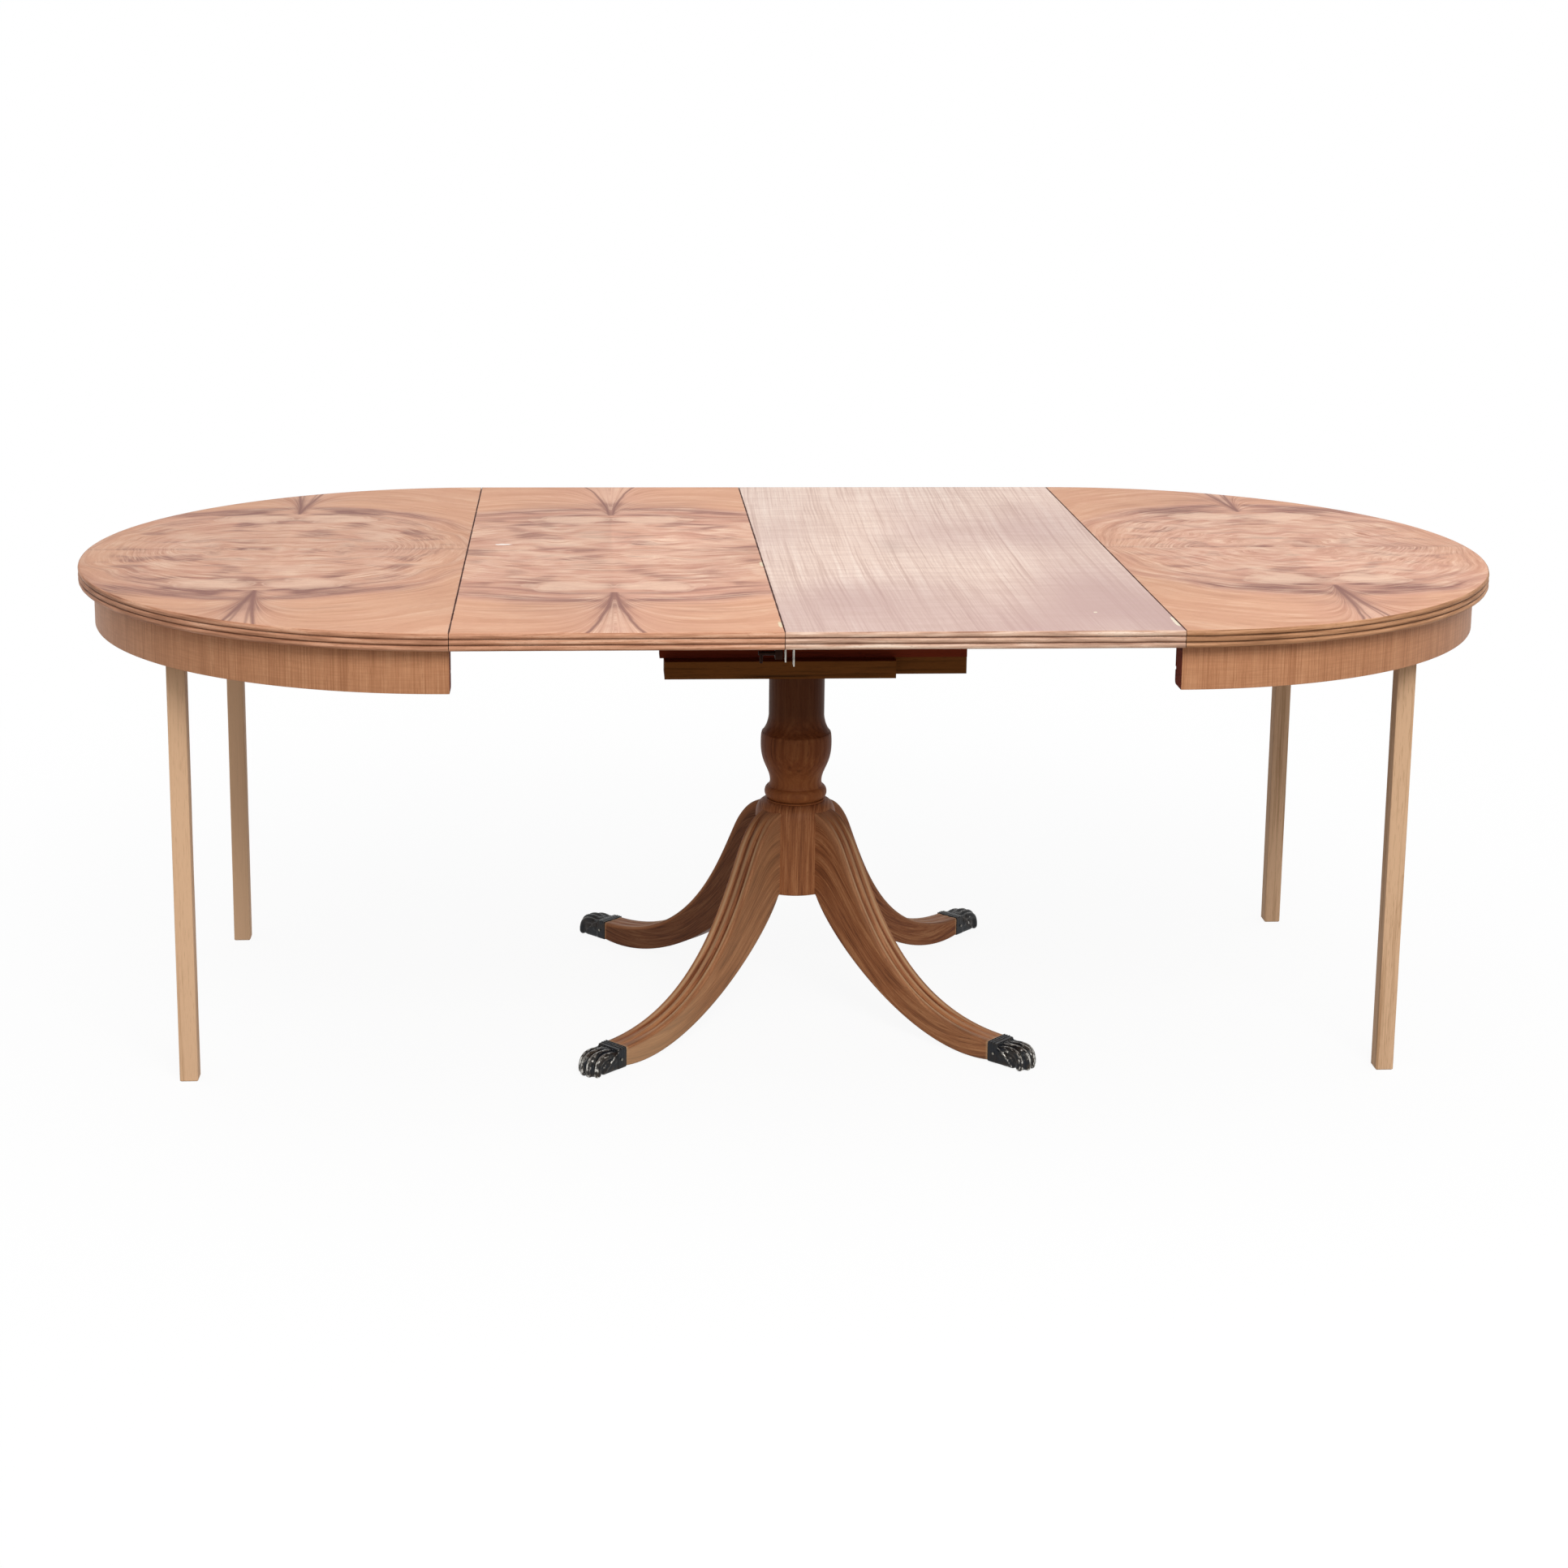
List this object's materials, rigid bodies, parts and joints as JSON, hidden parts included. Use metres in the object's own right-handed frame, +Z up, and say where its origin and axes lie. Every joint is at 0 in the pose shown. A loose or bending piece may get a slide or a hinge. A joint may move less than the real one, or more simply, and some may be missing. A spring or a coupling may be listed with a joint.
{
  "type": "round extending dining table",
  "caption": "Round dining table pulled open on slides, with loose leaves, a turned pedestal on sabre legs with paw caps, and square support legs under the half-round ends",
  "frame": {"origin": "on the floor under the middle of the top", "axes": "X along the open table, Y across it, Z up"},
  "size_m": [2.1988, 1.184, 0.742],
  "materials": {
    "figured_mahogany": "matte, unpolished crotch veneer",
    "plain_mahogany": "matte, bare straight-grained wood",
    "edge_mahogany": "matte, worn reeded edge",
    "apron_veneer": "satin veneer",
    "turned_mahogany": "old satin polish",
    "dark_mahogany": "dull, unpolished",
    "support_leg_wood": "matte, bare pale wood",
    "patinated_brass": "dark patina with rubbed high spots",
    "bright_metal": "satin",
    "screw_steel": "dull"
  },
  "bodies": {
    "pedestal": {"column": "turned_mahogany", "hub": "turned_mahogany", "hub_plate": "screw_steel", "hub_plate_screws": "bright_metal", "sabre_leg_front_left": "turned_mahogany", "sabre_leg_front_right": "turned_mahogany", "sabre_leg_rear_left": "turned_mahogany", "sabre_leg_rear_right": "turned_mahogany", "paw_cap_front_left": "patinated_brass", "paw_cap_front_right": "patinated_brass", "paw_cap_rear_left": "patinated_brass", "paw_cap_rear_right": "patinated_brass", "paw_cap_screws": "bright_metal", "head_block": "dark_mahogany", "bearer_front": "dark_mahogany", "bearer_rear": "dark_mahogany", "bearer_facings": "dark_mahogany", "centre_slide_front": "dark_mahogany", "centre_slide_rear": "dark_mahogany", "bearer_screws": "screw_steel", "stop_blocks": "dark_mahogany"},
    "left_end": {"left_end_top": "figured_mahogany", "left_end_lipping": "edge_mahogany", "left_end_apron": "apron_veneer", "left_end_apron_blocks": "dark_mahogany", "left_slide_front": "dark_mahogany", "left_slide_rear": "dark_mahogany", "left_slide_screws": "screw_steel", "left_stop_pegs": "screw_steel", "left_prop_front": "support_leg_wood", "left_prop_rear": "support_leg_wood", "left_prop_blocks": "support_leg_wood", "left_prop_bolts": "screw_steel"},
    "right_end": {"right_end_top": "figured_mahogany", "right_end_lipping": "edge_mahogany", "right_end_apron": "apron_veneer", "right_end_apron_blocks": "dark_mahogany", "right_slide_front": "dark_mahogany", "right_slide_rear": "dark_mahogany", "right_slide_screws": "screw_steel", "right_stop_pegs": "screw_steel", "right_prop_front": "support_leg_wood", "right_prop_rear": "support_leg_wood", "right_prop_blocks": "support_leg_wood", "right_prop_bolts": "screw_steel"},
    "left_leaf": {"left_leaf_panel": "figured_mahogany", "left_leaf_lippings": "edge_mahogany", "left_leaf_battens": "dark_mahogany", "left_leaf_screws": "screw_steel", "bolt_guides": "patinated_brass"},
    "right_leaf": {"right_leaf_panel": "plain_mahogany", "right_leaf_lippings": "edge_mahogany", "right_leaf_battens": "dark_mahogany", "right_leaf_screws": "screw_steel", "keepers": "bright_metal"},
    "leaf_bolt_front": {"leaf_bolt_front": "screw_steel"},
    "leaf_bolt_rear": {"leaf_bolt_rear": "screw_steel"}
  },
  "joints": [
    {"name": "left_end_slide", "type": "slide", "parent": "pedestal", "child": "left_end", "axis": [-1, 0, 0], "range_m": [0, 0.06]},
    {"name": "right_end_slide", "type": "slide", "parent": "pedestal", "child": "right_end", "axis": [1, 0, 0], "range_m": [0, 0.06]},
    {"name": "left_leaf_lift", "type": "slide", "parent": "pedestal", "child": "left_leaf", "axis": [0, 0, 1], "range_m": [0, 0.25]},
    {"name": "right_leaf_lift", "type": "slide", "parent": "pedestal", "child": "right_leaf", "axis": [0, 0, 1], "range_m": [0, 0.25]},
    {"name": "leaf_bolt_front_slide", "type": "slide", "parent": "left_leaf", "child": "leaf_bolt_front", "axis": [1, 0, 0], "range_m": [0, 0.016]},
    {"name": "leaf_bolt_rear_slide", "type": "slide", "parent": "left_leaf", "child": "leaf_bolt_rear", "axis": [1, 0, 0], "range_m": [0, 0.016]}
  ]
}
